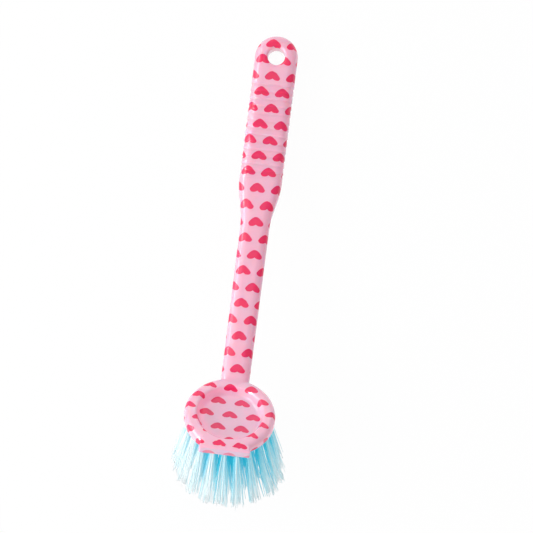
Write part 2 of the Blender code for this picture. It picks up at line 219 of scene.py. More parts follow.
# A heart's outline, in shares of its half width and its height
HEART_POWER = 1.7
HEART_BLUNTNESS = 0.85
HEART_SIDE = 0.3
HEART_NOTCH = 0.17
HEART_NOTCH_REACH = 0.5
HEART_LOBE_START = 0.6
HEART_FALL = 8.0
HEART_EDGE = 0.03
HEART_SHIFT = 0.3 * MM
HEART_TILT = 0.06
HEART_WOBBLE = (0.6 * MM, 0.45 * MM)
WOBBLE_SCALE = 330.0

# Colours, as 8-bit display values
HANDLE_PINK = (226, 178, 198)
# Partly painted sheen: the head's pink is paler than the handle's, as the head's flat faces catch a sheen
HEAD_PINK_AND_SHEEN = (226, 186, 204)
CLOUD_PINK = (232, 188, 206)
# Painted reflection of the pale bristles on the lip's front face
LIP_EDGE_REFLECTION_PINK = (208, 198, 214)
# Painted glow colour of the pink plastic, standing in for light scattered inside it
PAINTED_GLOW_PINK = (255, 120, 165)
HEART_REDS = ((226, 18, 88), (230, 28, 98))
HEART_GRAIN_RED = (212, 22, 86)
# Painted glow colour of the hearts
HEART_RIM_RED = (220, 26, 114)
PAINTED_GLOW_RED = (200, 20, 60)
PALE_NYLONS = ((214, 246, 253), (252, 255, 255))
# Painted shade: the nylon's colour where the tufts are shaded
SHADED_NYLONS = ((0, 177, 205), (66, 207, 221))

# Patterns: fineness in cells to a metre, and how much each shows. Then the strengths of the painted glow
CLOUD_SCALE = 55.0
CLOUD_SHARE = 0.5
GRAIN_SCALE = 900.0
GRAIN_SHARE = 0.25
RIPPLE_SCALE = 240.0
# How much of the print the painted reflection on the lip's front face veils
REFLECTION_PRINT_LOSS = 0.5
BLEED_START = 0.02
BLEED_END = 0.13
BLEED_SHARE = 0.6
NYLON_GRAIN_SCALE = 700.0
NYLON_GRAIN_SHARE = 0.3
STREAK_LOSS = 0.35
STREAK_BASE = 0.3
TIP_LOSS = 0.9
ROOT_SHADE = 0.35
# Painted glow: its strength all over the pink plastic, then its extra strength in the dish's wall
PAINTED_PINK_GLOW = 0.11
PAINTED_DISH_GLOW = 0.22
# Painted glow of the nylon, and its extra strength where the nylon is shaded
PAINTED_NYLON_GLOW = 0.15
PAINTED_SHADED_NYLON_GLOW = 0.23

# Camera, found by laying the part's landmarks over the photograph's
CAMERA_DISTANCE = 3.0
CAMERA_AZIMUTH = math.radians(91.63)
CAMERA_ELEVATION = math.radians(88.01)
CAMERA_ROLL = math.radians(-84.65)
CAMERA_TARGET = (0.0102, 0.0031, 0.03)
CAMERA_FOCAL_PIXELS = 4946.6
IMAGE_PIXELS = 533
SENSOR_WIDTH = 36.0

# Table
TABLE_HALF = 4.0
TABLE_DROP = 0.3 * MM
TABLE_GREY = 0.9
TABLE_GLOW_SHARE = 0.97

# Light: the world's strength on each side, then each lamp's size, power in watts and place
WORLD_LEFT = 0.74
WORLD_RIGHT = 0.5
LAMPS = (
    ("left low softbox", (0.8, 0.3), 5.6, (-0.8, -0.3, 0.62)),
    ("left high softbox", (0.4, 0.9), 1.6, (-0.6, 0.2, 0.95)),
    ("top softbox", (0.5, 0.5), 0.4, (-0.05, 0.45, 1.2)),
    ("far low softbox", (1.3, 0.4), 1.5, (0, 1.3, 0.3)),
    ("far high softbox", (1.0, 0.4), 0.5, (0, 1.1, 0.75)),
)

# Lamps seen in the gloss alone
GLOSS_LAMPS = (
    ("left gloss", (0.45, 0.18), 16.0, (-0.87, -0.42, 0.56)),
    ("front left gloss", (0.8, 0.25), 8.0, (-0.75, -0.85, 0.32)),
    ("handle gloss", (0.9, 0.5), 3.0, (-0.95, 0.35, 0.38)),
    ("handle line gloss", (0.8, 0.12), 2.4, (-0.87, 0.38, 0.6)),
)
LAMP_AIM = (0, 0, 0.03)


# The brush's own frame: the middle of the head's underside, +Z away from the bristles, +Y to the handle


def handle_line():
    """Start of the straight handle above the rim, its direction and its normal, as (y, z) pairs."""
    start = np.array((HEAD_RADIUS + NECK_OUTSET, HEAD_THICKNESS / 2 + NECK_RISE))
    along = np.array((math.cos(HANDLE_PITCH), math.sin(HANDLE_PITCH)))
    return start, along, np.array((-along[1], along[0]))


def rest_matrix():
    """Takes the brush's own frame to the model's. The record's front hang face gives both tilt and place."""
    face = next(m for m in frame["record"]["mounts"] if m["name"] == "hang_face_front")
    tilt = HANDLE_PITCH + math.atan2(face["axis"][1], face["axis"][2])
    start, along, normal = handle_line()
    spot = start + along * (HANDLE_REACH - HANG_FACE_PLACE) + normal * GRIP_THICKNESS / 2
    turn = Matrix.Rotation(-tilt, 4, "X")
    return Matrix.Translation(Vector(face["pos_m"]) - turn @ Vector((0, *spot))) @ turn


REST = rest_matrix()


def moved(points, matrix):
    """Points taken through a matrix."""
    matrix = np.array(matrix)
    return points @ matrix[:3, :3].T + matrix[:3, 3]


def placed(points):
    """Points of the brush's own frame, in the model's frame."""
    return moved(points, REST)


def values_of(rows, label, width=1, kind=np.int32):
    """What a mesh keeps under a label for all its points, edges, faces or corners, in one line."""
    values = np.empty(width * len(rows), kind)
    rows.foreach_get(label, values)
    return values


def store(mesh, label, values):
    """Keeps a number for each point of a mesh under a label."""
    layer = mesh.attributes.new(label, "FLOAT", "POINT")
    layer.data.foreach_set("value", values.astype(np.float32))


def new_object(name, data):
    """Object of a mesh, lamp or camera, put in the scene."""
    item = bpy.data.objects.new(name, data)
    bpy.context.scene.collection.objects.link(item)
    return item


# Shapes


def rounded_outline(corners, steps):
    """Outline through (x, y, radius) corners; each corner with a radius becomes an arc of equal turns."""
    outline = []
    for index, (x, y, radius) in enumerate(corners):
        corner = Vector((x, y))
        if radius == 0:
            outline.append(corner)
            continue
        before = (Vector(corners[index - 1][:2]) - corner).normalized()
        after = (Vector(corners[index + 1][:2]) - corner).normalized()
        half = before.angle(after) / 2
        centre = corner + (before + after).normalized() * radius / math.sin(half)
        start = corner + before * radius / math.tan(half) - centre
        end = corner + after * radius / math.tan(half) - centre
        sweep = start.angle(end)
        for step in range(steps + 1):
            share = step / steps
            blend = start * math.sin((1 - share) * sweep) + end * math.sin(share * sweep)
            outline.append(centre + blend / math.sin(sweep))
    return np.array([tuple(point) for point in outline])


def split_runs(outline, longest):
    """The outline with each run longer than a length cut into equal parts."""
    points = [outline[:1]]
    for first, second in zip(outline, outline[1:]):
        parts = max(1, math.ceil(np.linalg.norm(second - first) / longest))
        shares = np.arange(1, parts + 1)[:, None] / parts
        points.append(first + (second - first) * shares)
    return np.concatenate(points)


def arc_lengths(points):
    """Distance along a line of points, from its first."""
    return np.concatenate(([0], np.cumsum(np.linalg.norm(np.diff(points, axis=0), axis=1))))


def grid_object(name, grid, corner_charts, poles=(), pole_charts=()):
    """Closed surface from a (rows, columns, 3) grid whose columns run round; each pole is a point that
    closes the first or the last row. corner_charts is (rows - 1, columns, 4, 2): the print's coordinates at
    each quad's corners (row, column), (row, next), (next row, next), (next row, column)."""
    points = grid.reshape(-1, 3)
    here = np.arange(len(points)).reshape(grid.shape[:2])
    there = np.roll(here, -1, axis=1)
    faces = np.stack((here[:-1], there[:-1], there[1:], here[1:]), -1).reshape(-1, 4).tolist()
    charts = [corner_charts.reshape(-1, 2)]
    for index, pole in enumerate(poles):
        tip = np.full(len(here[0]), len(points) + index)
        fan = (tip, there[0], here[0]) if index == 0 else (tip, here[-1], there[-1])
        faces += np.stack(fan, -1).tolist()
        charts.append(pole_charts[index].reshape(-1, 2))
    points = np.concatenate([points] + [np.reshape(pole, (1, 3)) for pole in poles])
    mesh = bpy.data.meshes.new(name)
    mesh.from_pydata(points.tolist(), [], faces)
    layer = mesh.uv_layers.new(name="print")
    layer.data.foreach_set("uv", np.concatenate(charts).astype(np.float32).ravel())
    bm = bmesh.new()
    bm.from_mesh(mesh)
    bmesh.ops.remove_doubles(bm, verts=bm.verts, dist=WELD)
    bmesh.ops.recalc_face_normals(bm, faces=bm.faces)
    if bm.calc_volume(signed=True) < 0:
        bmesh.ops.reverse_faces(bm, faces=bm.faces)
    bm.to_mesh(mesh)
    bm.free()
    return new_object(name, mesh)


def corners_of(chart):
    """Corner charts from a (rows, columns + 1, 2) chart, whose last column closes the ring."""
    return np.stack((chart[:-1, :-1], chart[:-1, 1:], chart[1:, 1:], chart[1:, :-1]), axis=2)


def lip_plan(reach):
    """Half width and top height of the lip at a distance in front of the head's centre."""
    root = RECESS_RADIUS + LIP_ROOT_SINK
    share = (reach - root) / (LIP_REACH - root)
    front_top = LIP_FOOT + LIP_FRONT_HEIGHT
    root_top = HEAD_THICKNESS - LIP_ROOT_DROP
    width = LIP_ROOT_WIDTH + (LIP_FRONT_WIDTH - LIP_ROOT_WIDTH) * share
    return width / 2, root_top + (front_top - root_top) * share


def head_profile():
    """Profile from the recess floor's middle over the rim to the crown's middle, with its arc lengths."""
    floor = HEAD_THICKNESS - RECESS_DEPTH
    corners = (
        (0, floor, 0),
        (RECESS_RADIUS - RECESS_WALL_RUN, floor, RECESS_FILLET),
        (RECESS_RADIUS, HEAD_THICKNESS, RIM_INNER_ROUNDING),
        (HEAD_RADIUS, HEAD_THICKNESS, RIM_OUTER_ROUNDING),
        (HEAD_RADIUS, 0, RIM_FOOT_ROUNDING),
        (CROWN_RADIUS, 0, 0),
        (CROWN_RADIUS, -CROWN_HEIGHT, CROWN_ROUNDING),
        (0, -CROWN_HEIGHT, 0),
    )
    profile = split_runs(rounded_outline(corners, FILLET_STEPS), HEAD_STEP)
    return profile, arc_lengths(profile)


def crest_extra():
    """How much larger the print's radius on the rim's crest is than the real one, from the wall's slope."""
    profile, arc = head_profile()
    crest = np.argmax(profile[:, 1] > HEAD_THICKNESS - PRESS_GAP)
    return arc[crest] - profile[crest, 0]


def make_head():
    """Profile turned about Z: a point is (r sin a, r cos a, z), and its print lies at the arc length from
    the axis in the same direction. Over the lip the rim is pressed down to the lip's plane."""
    profile, arc = head_profile()
    underside = profile[:, 1] < RIM_FOOT_ROUNDING / 2
    turn = np.linspace(0, 2 * math.pi, HEAD_TURNS + 1)
    chart = head_print(np.stack((np.outer(arc, np.sin(turn)), np.outer(arc, np.cos(turn))), -1))
    corner_charts = corners_of(chart[1:-1])
    turn = turn[:-1]
    x = np.outer(profile[1:-1, 0], np.sin(turn))
    y = np.outer(profile[1:-1, 0], np.cos(turn))
    z = np.repeat(profile[1:-1, 1:], HEAD_TURNS, axis=1)
    half_width, top = lip_plan(-y)
    beside = np.clip((half_width - np.abs(x)) / PRESS_BLEND, 0, 1)
    share = beside * np.clip((-y - PRESS_START) / PRESS_BLEND, 0, 1)
    z = z - np.clip(z - (top - PRESS_GAP), 0, None) * share
    corner_charts[share[:-1] == 1] += (LIP_REGION - HEAD_REGION, 0)
    corner_charts[underside[1:-2]] = 0
    middle = head_print(np.zeros(2))
    fan = np.stack((np.broadcast_to(middle, (HEAD_TURNS, 2)), chart[1, 1:], chart[1, :-1]), 1)
    poles = ((0, 0, profile[0, 1]), (0, 0, profile[-1, 1]))
    return grid_object("head", placed(np.stack((x, y, z), -1)), corner_charts,
                       [placed(np.array(pole)) for pole in poles], (fan, np.zeros_like(fan)))


def make_lip():
    """Rounded wedge: a core rectangle pushed out by its rounding, r cos(turn) sideways and r sin(turn) up
    and down, then narrowed and sloped to the lip's plan. Its front face leans out towards its foot."""
    quarter = np.linspace(0, math.pi / 2, LIP_ARC_STEPS + 1)
    half_length = (LIP_REACH - RECESS_RADIUS - LIP_ROOT_SINK) / 2
    middle = LIP_REACH - half_length
    half_front = LIP_FRONT_WIDTH / 2
    signs = ((1, 1), (-1, 1), (-1, -1), (1, -1))
    core, push = [], []
    for index, sign in enumerate(signs):
        turn = quarter + index * math.pi / 2
        core.append(np.broadcast_to(np.array(sign, float), (len(turn), 2)))
        push.append(np.stack((np.cos(turn), np.sin(turn)), -1))
        span = 2 * (half_front if index % 2 == 0 else half_length)
        shares = np.linspace(0, 1, math.ceil(span / LIP_CELL) + 1)[1:-1, None]
        core.append((1 - shares) * np.array(sign, float) + shares * np.array(signs[(index + 1) % 4], float))
        push.append(np.broadcast_to(push[-1][-1], (len(shares), 2)))
    core, push = np.concatenate(core), np.concatenate(push)

    flat = np.linspace(0, 1, math.ceil(half_length / LIP_CELL) + 1)[1:]
    scale = np.concatenate((flat, np.ones(2 * len(quarter) - 2), flat[::-1]))
    out = np.concatenate((0 * flat, np.sin(quarter[1:]), np.cos(quarter[:-1]), 0 * flat))
    drop = np.concatenate((0 * flat, 1 - np.cos(quarter[1:]), 1 - np.sin(quarter[:-1]), 0 * flat))
    upper = np.arange(len(scale)) < len(flat) + len(quarter) - 1
    run = np.concatenate((0 * flat, quarter[1:], quarter[:-1] + math.pi / 2, 0 * flat)) * LIP_ROUNDING

    def shape(push_by, drop):
        size, push_by, drop = scale[:, None], push_by[:, None], drop[:, None] * LIP_ROUNDING
        x = core[:, 0] * (half_front - LIP_ROUNDING) * size + push[:, 0] * push_by
        reach = middle - core[:, 1] * (half_length - LIP_ROUNDING) * size - push[:, 1] * push_by
        half_width, top = lip_plan(reach)
        z = np.where(upper[:, None], top - drop, LIP_FOOT + drop)
        forward = np.clip((reach - middle) / half_length, 0, 1)
        under = np.clip(1 - (z - LIP_FOOT) / LIP_FRONT_HEIGHT, 0, 1)
        reach = reach + forward * (LIP_FRONT_SLOPE * under - LIP_SET_BACK)
        return np.stack((x * half_width / half_front, -reach, z), -1)

    grid = shape(out * LIP_ROUNDING, drop)
    side_run = np.where(upper, 0, LIP_FRONT_HEIGHT - 2 * LIP_ROUNDING)
    spread = shape(run + side_run, 0 * drop)[..., :2]
    chart = head_print(spread * (1 + crest_extra() / LIP_REACH, 1) - (0, crest_extra()))
    chart = np.concatenate((chart, chart[:, :1]), axis=1)
    corner_charts = corners_of(chart) + (LIP_REGION - HEAD_REGION, 0)
    front = (core[:, 1] == -1) & (np.roll(core[:, 1], -1) == -1)
    wall = np.arange(len(scale) - 1) >= len(flat) + len(quarter) - 2
    # The lip's front face gets a region of its own, where the material paints a pale reflection over the
    # print; its print is also shifted there
    corner_charts[wall[:, None] & front[None, :]] += (REFLECTION_REGION - LIP_REGION, -LIP_EDGE_PRINT_SHIFT)
    corner_charts[len(scale) - len(flat) - 1:] = 0
    poles = [placed(np.array((0, -middle, height))) for height in (lip_plan(middle)[1], LIP_FOOT)]
    tip = head_print(np.array((0, -middle - crest_extra())))
    fan = np.stack((np.broadcast_to(tip, (len(core), 2)), chart[0, 1:], chart[0, :-1]), 1)
    fan += (LIP_REGION - HEAD_REGION, 0)
    return grid_object("lip", placed(grid), corner_charts, poles, (fan, np.zeros_like(fan)))


def rib_depth(place):
    """How far the ribs draw the grip in at a distance from the hang hole's centre: a saw that widens
    slowly towards the head and steps back in."""
    along = (place - RIB_START) / RIB_PITCH
    depth = np.interp(along % 1, RIB_PLACE_SHARES, RIB_DEPTH_SHARES)
    lead = np.clip(1 + along / (1 - RIB_PLACE_SHARES[-2]), 0, 1) * RIB_DEPTH_SHARES[0]
    return RIB_DEPTH * np.where(along < 0, lead, np.where(along < RIB_COUNT, depth, 0))


def handle_half_sizes(place):
    """Half width and half thickness at a distance from the hang hole's centre: a grip, an eased taper and
    a shaft that narrows evenly to the neck."""
    share = np.clip((place - GRIP_LENGTH) / TAPER_LENGTH, 0, 1)
    ease = share * share * (3 - 2 * share)
    shaft_start = GRIP_LENGTH + TAPER_LENGTH
    run = np.clip((place - shaft_start) / (HANDLE_REACH - shaft_start), 0, 1)
    width = GRIP_WIDTH + (SHAFT_WIDTH - GRIP_WIDTH) * ease + (NECK_WIDTH - SHAFT_WIDTH) * run
    thickness = GRIP_THICKNESS + (SHAFT_THICKNESS - GRIP_THICKNESS) * ease
    return width / 2, (thickness + (NECK_THICKNESS - SHAFT_THICKNESS) * run) / 2


def quarter_ring(half_width, half_thickness):
    """(reach, height, girth) of each column from the front's middle over a flat and a quarter of an ellipse
    to the side's middle; girth is the distance along the ring. One row for each station."""
    half_width, half_thickness = half_width[:, None], half_thickness[:, None]
    shoulder = half_thickness * SHOULDER_HEIGHT_SHARE
    flat = (half_width - SHOULDER_WIDTH) * np.linspace(0, 1, FLAT_STEPS, endpoint=False)
    turn = np.linspace(0, math.pi / 2, SHOULDER_STEPS + 1)
    reach = np.concatenate((flat, half_width - SHOULDER_WIDTH * (1 - np.sin(turn)), half_width), axis=1)
    height = np.concatenate((
        half_thickness + 0 * flat, half_thickness - shoulder * (1 - np.cos(turn)), 0 * half_width), axis=1)
    steps = np.hypot(np.diff(reach, axis=1), np.diff(height, axis=1))
    girth = np.concatenate((0 * half_width, np.cumsum(steps, axis=1)), axis=1)
    return reach, height, girth


def handle_stations():
    """Along the handle, from the buried neck to the round end: centre and direction as (y, z), half sizes,
    turn about the round end's centre, and the print's length from the hang hole's centre."""
    start, along, _ = handle_line()
    share = np.linspace(0, 1, NECK_STEPS, endpoint=False)[:, None]
    buried = np.array((HEAD_RADIUS - NECK_INSET, HEAD_THICKNESS / 2))
    corner = start - along * (start[1] - buried[1]) / along[1]
    neck = buried * (1 - share) ** 2 + corner * 2 * share * (1 - share) + start * share ** 2
    lean = (corner - buried) * (1 - share) + (start - corner) * share
    lean /= np.linalg.norm(lean, axis=1, keepdims=True)
    neck_width, neck_thickness = handle_half_sizes(np.full(NECK_STEPS, HANDLE_REACH))
    neck_thickness = neck_thickness - NECK_SINK * (1 - share[:, 0])
    neck_run = arc_lengths(np.concatenate((neck, start[None])))
    neck_length = HANDLE_REACH + neck_run[-1] - neck_run[:-1]

    shaft_start = GRIP_LENGTH + TAPER_LENGTH
    place = np.concatenate((
        np.arange(HANDLE_REACH, shaft_start, -SHAFT_STEP),
        np.arange(shaft_start, GRIP_LENGTH, -TAPER_STEP),
        np.arange(GRIP_LENGTH, GRIP_STEP / 2, -GRIP_STEP),
    ))
    half_width, half_thickness = handle_half_sizes(place)
    depth = rib_depth(place)
    end_turn = np.linspace(0, math.pi / 2, END_STEPS + 1)
    end_width, end_thickness = handle_half_sizes(0 * end_turn)
    place_all = np.concatenate((place, 0 * end_turn))
    centre = np.concatenate((neck, start + along * (HANDLE_REACH - place_all)[:, None]))
    lean = np.concatenate((lean, np.broadcast_to(along, (len(place_all), 2))))
    half_width = np.concatenate((neck_width, half_width - depth, end_width))
    half_thickness = half_thickness - depth * RIB_THICKNESS_SHARE
    half_thickness = np.concatenate((neck_thickness, half_thickness, end_thickness))
    turn = np.concatenate((np.zeros(len(centre) - len(end_turn)), end_turn))
    return centre, lean, half_width, half_thickness, turn, np.concatenate((neck_length, place_all))


def make_handle():
    """Rings carried along the handle's line; round the end each ring's reach turns about the hang hole's
    axis. The print follows the girth, drawn in or out over the back so that whole hearts meet there."""
    centre, lean, half_width, half_thickness, turn, length = handle_stations()
    reach, height, girth = quarter_ring(half_width, half_thickness)
    reach = np.concatenate((reach, reach[:, -2::-1]), axis=1)
    height = np.concatenate((height, -height[:, -2::-1]), axis=1)
    columns = reach.shape[1]
    sides = ((-1, slice(columns - 1, 0, -1)), (1, slice(0, columns - 1)))
    points = []
    for sign, order in sides:
        across, up = reach[:, order], height[:, order]
        x = sign * across * np.cos(turn)[:, None]
        out = across * np.sin(turn)[:, None]
        y = centre[:, :1] + lean[:, :1] * out - lean[:, 1:] * up
        z = centre[:, 1:] + lean[:, 1:] * out + lean[:, :1] * up
        points.append(np.stack((x, y, z), -1))
    grid = np.concatenate(points, axis=1)

    def chart_of(hearts_round):
        """Chart for (back, front) halves of the ring, each (rows, columns + 1, 2)."""
        side = girth[:, -1:]
        back_middle = hearts_round * HEART_PITCH / 2
        factor = (back_middle - side) / side
        front_run = np.concatenate((girth, 2 * side - girth[:, -2::-1]), axis=1)
        from_back = 2 * side - front_run
        cos, sin = np.cos(turn)[:, None], np.sin(turn)[:, None]
        front = np.stack((front_run * cos, front_run * sin - length[:, None]), -1)
        back = np.stack((back_middle - from_back * factor * cos, from_back * sin - length[:, None]), -1)
        whole = []
        for half in (back, front):
            mirrored = half[:, ::-1] * np.array((-1, 1))
            whole.append(np.concatenate((mirrored[:, :-1], half), axis=1))
        return whole

    quarter = girth.shape[1] - 1
    column = np.arange(2 * (columns - 1))
    on_front = (column >= quarter) & (column < 3 * quarter)
    middle_length = (length[:-1] + length[1:]) / 2
    switch = heart_row_gap(GRIP_LENGTH + TAPER_LENGTH / 2)
    grip_then_shaft = []
    for count in (GRIP_HEARTS_ROUND, SHAFT_HEARTS_ROUND):
        back, front = [corners_of(handle_print(half)) for half in chart_of(count)]
        grip_then_shaft.append(np.where(on_front[:, None, None], front, back))
    corner_charts = np.where((middle_length < switch)[:, None, None, None], *grip_then_shaft)
    corner_charts[middle_length > PRINT_END] = 0
    buried = np.array((0, *centre[0]))
    fan = np.zeros((len(column), 3, 2))
    return grid_object("handle bar", placed(grid), corner_charts, (placed(buried),), (fan,))


# The print


def handle_print(chart):
    """Print coordinates of the handle from (girth, length towards the round end). The film's columns lean
    and bow a little, and it was drawn towards the round end where the grip tapers."""
    across, along = chart[..., 0], chart[..., 1]
    draw = np.clip(1 - ((along + TAPER_DRAW_PLACE) / TAPER_DRAW_REACH) ** 2, 0, 1) ** 2
    across = across + HANDLE_SHEAR * along + HANDLE_BOW * along ** 2 + HANDLE_SHIFT[0]
    return np.stack((across, along - TAPER_DRAW * draw + HANDLE_SHIFT[1]), -1)


def heart_row_gap(length):
    """The middle of the gap between two rows of hearts that is nearest to a length from the hang hole."""
    row = round((HANDLE_SHIFT[1] - length) / HEART_ROW)
    return HANDLE_SHIFT[1] - row * HEART_ROW


def head_print(chart):
    """Print coordinates of the head from its flattened plan, in a region of their own. The film was drawn
    wider there, so its lattice is scaled to the handle's."""
    cos, sin = math.cos(HEAD_TURN), math.sin(HEAD_TURN)
    x = chart[..., 0] * cos - chart[..., 1] * sin
    y = chart[..., 0] * sin + chart[..., 1] * cos
    across = (x + HEAD_SHEAR * y - HEAD_CENTRE[0]) * HEART_PITCH / HEAD_PITCH + HEART_PITCH / 2
    along = (y - HEAD_CENTRE[1]) * HEART_ROW / HEAD_ROW + HEART_ROW / 2
    return np.stack((across + HEAD_REGION, along), -1)


# Cutters


def turned_cutter(name, profile, turns, matrix, printed_rows=0):
    """Profile of (radius, height) points turned about Z. The first rows carry the handle's print, laid
    flat, and the rest is bare."""
    turn = np.linspace(0, 2 * math.pi, turns + 1)
    x, y = np.outer(profile[:, 0], np.cos(turn)), np.outer(profile[:, 0], np.sin(turn))
    chart = corners_of(handle_print(np.stack((x, y), -1)))
    chart[printed_rows:] = 0
    z = np.repeat(profile[:, 1:], turns, axis=1)
    grid = np.stack((x[:, :-1], y[:, :-1], z), -1).reshape(-1, 3)
    grid = moved(grid, REST @ matrix).reshape(len(profile), turns, 3)
    fan = np.zeros((turns, 3, 2))
    return grid_object(name, grid, chart, (grid[0].mean(0), grid[-1].mean(0)), (fan, fan))


def make_hang_cutter():
    """Hole whose wall curves outwards to both faces of the grip."""
    turn = np.linspace(0, FLARE_ANGLE, FLARE_STEPS + 1)
    radius = HANG_HOLE_RADIUS + HANG_HOLE_ROUNDING * (1 - np.cos(turn))
    height = GRIP_THICKNESS / 2 - HANG_HOLE_ROUNDING * (1 - np.sin(turn))
    end = GRIP_THICKNESS / 2 + OVERRUN
    radius = np.append(radius, radius[-1] + (end - height[-1]) * math.tan(FLARE_ANGLE))
    mouth = np.stack((radius, np.append(height, end)), -1)
    profile = np.concatenate((mouth[::-1], mouth * np.array((1, -1))))
    start, along, _ = handle_line()
    centre = start + along * HANDLE_REACH
    matrix = Matrix.Translation((0, *centre)) @ Matrix.Rotation(HANDLE_PITCH, 4, "X")
    return turned_cutter("hang hole", profile, HANG_HOLE_TURNS, matrix, FLARE_STEPS)


def tuft_placements():
    """Name, ring share, length and matrix of each tuft: its origin at its hole's mouth, +Z into the hole."""
    placements = []
    for ring, (ring_name, count) in enumerate(TUFT_RINGS):
        share = 1 - ring / (len(TUFT_RINGS) - 1)
        height = -CROWN_HEIGHT if OUTER_RING_RADIUS * share < CROWN_RADIUS else 0
        length = BRISTLE_LENGTH + height
        splay = math.atan2((OUTER_TIP_RADIUS - OUTER_RING_RADIUS) * share, length)
        for index in range(count):
            name = f"tuft_{ring_name}_{index + 1:02d}" if count > 1 else f"tuft_{ring_name}"
            matrix = (
                Matrix.Rotation(2 * math.pi * index / count - math.pi / 2, 4, "Z")
                @ Matrix.Translation((OUTER_RING_RADIUS * share, 0, height))
                @ Matrix.Rotation(-splay, 4, "Y")
            )
            placements.append((name, share, length, matrix))
    return placements


# Joining


def joined(base, cutters):
    """Applies each (other, operation) to the base in turn, and removes the others."""
    for other, operation in cutters:
        modifier = base.modifiers.new(other.name, "BOOLEAN")
        modifier.operation = operation
        modifier.object = other
        modifier.solver = "EXACT"
    bpy.context.view_layer.update()
    mesh = bpy.data.meshes.new_from_object(base.evaluated_get(bpy.context.evaluated_depsgraph_get()))
    base.modifiers.clear()
    base.data = mesh
    for other, _ in cutters:
        bpy.data.objects.remove(other, do_unlink=True)


def mark(item, index):
    """Puts every face of a shape in one material slot, so that the joined mesh knows where it came from."""
    for _ in range(CUT_SLOT + 1):
        item.data.materials.append(PINK)
    item.data.polygons.foreach_set("material_index", np.full(len(item.data.polygons), index, np.int32))
    return item


def ease_joints(mesh):
    """Moves each point near a line where two shapes meet towards the mean of its neighbours, most at the
    line and not at all beyond the rounding."""
    points = values_of(mesh.vertices, "co", 3, float).reshape(-1, 3)
    count = len(points)
    loops = values_of(mesh.loops, "vertex_index")
    kind = values_of(mesh.polygons, "material_index")
    kind = np.repeat(kind, values_of(mesh.polygons, "loop_total"))
    seen = np.stack([np.bincount(loops[kind == k], minlength=count) > 0 for k in range(CUT_SLOT)])
    seams = np.nonzero(seen.sum(axis=0) > 1)[0]
    tree = kdtree.KDTree(len(seams))
    for index, seam in enumerate(seams):
        tree.insert(points[seam], index)
    tree.balance()
    distance = np.array([tree.find(point)[2] for point in points])
    weight = np.clip(1 - distance / JOINT_ROUNDING, 0, 1)
    first, second = values_of(mesh.edges, "vertices", 2).reshape(-1, 2).T
    degree = np.bincount(first, minlength=count) + np.bincount(second, minlength=count)
    for _ in range(EASE_PASSES):
        total = np.stack([
            np.bincount(first, points[second, axis], count) + np.bincount(second, points[first, axis], count)
            for axis in range(3)], -1)
        points += (total / degree[:, None] - points) * weight[:, None] / 2
    mesh.vertices.foreach_set("co", points.ravel())
    mesh.update()


def mark_painted_glow(mesh):
    """Stores as "dish" how strong a painted pink glow is at each point, standing in for light bounced by the
    plastic nearby: up to 1 on the left of the dish's wall, half of that on the right of the head's outer
    wall, 0 elsewhere."""
    points = values_of(mesh.vertices, "co", 3, float).reshape(-1, 3)
    x, y, z = moved(points, REST.inverted()).T
    radius = np.hypot(x, y)
    depth = HEAD_THICKNESS - z
    share = np.clip((radius - PAINTED_GLOW_START) / (PAINTED_GLOW_FULL - PAINTED_GLOW_START), 0, 1)
    share *= np.clip(depth / GLOW_DEPTH, 0, 1) * (depth < RECESS_DEPTH + GLOW_MARGIN)
    share *= (radius < RECESS_RADIUS + GLOW_MARGIN) * (1 - x / np.maximum(radius, GLOW_MARGIN)) / 2
    outer = np.clip((depth - GLOW_DEPTH) / GLOW_MARGIN, 0, 1) * (abs(radius - HEAD_RADIUS) < 2 * GLOW_MARGIN)
    share = np.maximum(share, PAINTED_OUTER_GLOW * outer * np.clip(x / HEAD_RADIUS, 0, 1))
    # The attribute "dish" carries the painted glow
    store(mesh, "dish", share)


def make_moulding():
    """Head, lip and handle in one, with the hang hole and the blind holes cut."""
    head = mark(make_head(), HEAD_SLOT)
    joined(head, ((mark(make_lip(), LIP_SLOT), "UNION"), (mark(make_handle(), HANDLE_SLOT), "UNION")))
    ease_joints(head.data)
    profile = np.array(((HOLE_RADIUS, HOLE_DEPTH), (HOLE_RADIUS, -OVERRUN)))
    holes = []
    for name, _, _, matrix in tuft_placements():
        holes.append(turned_cutter(f"hole {name}", profile, HOLE_SIDES, matrix))
    bpy.ops.object.select_all(action="DESELECT")
    for hole in holes:
        hole.select_set(True)
    bpy.context.view_layer.objects.active = holes[0]
    bpy.ops.object.join()
    cutters = (mark(make_hang_cutter(), CUT_SLOT), mark(holes[0], CUT_SLOT))
    joined(head, [(cutter, "DIFFERENCE") for cutter in cutters])
    head.name = "moulding"
    mesh = head.data
    mesh.polygons.foreach_set("material_index", np.zeros(len(mesh.polygons), np.int32))
    mesh.materials.clear()
    mesh.materials.append(PINK)
    # Painted glow in the dish's wall and on the head's outer wall
    mark_painted_glow(mesh)
    mesh.shade_smooth()
    mesh.set_sharp_from_angle(angle=SMOOTH_ANGLE)
    return head


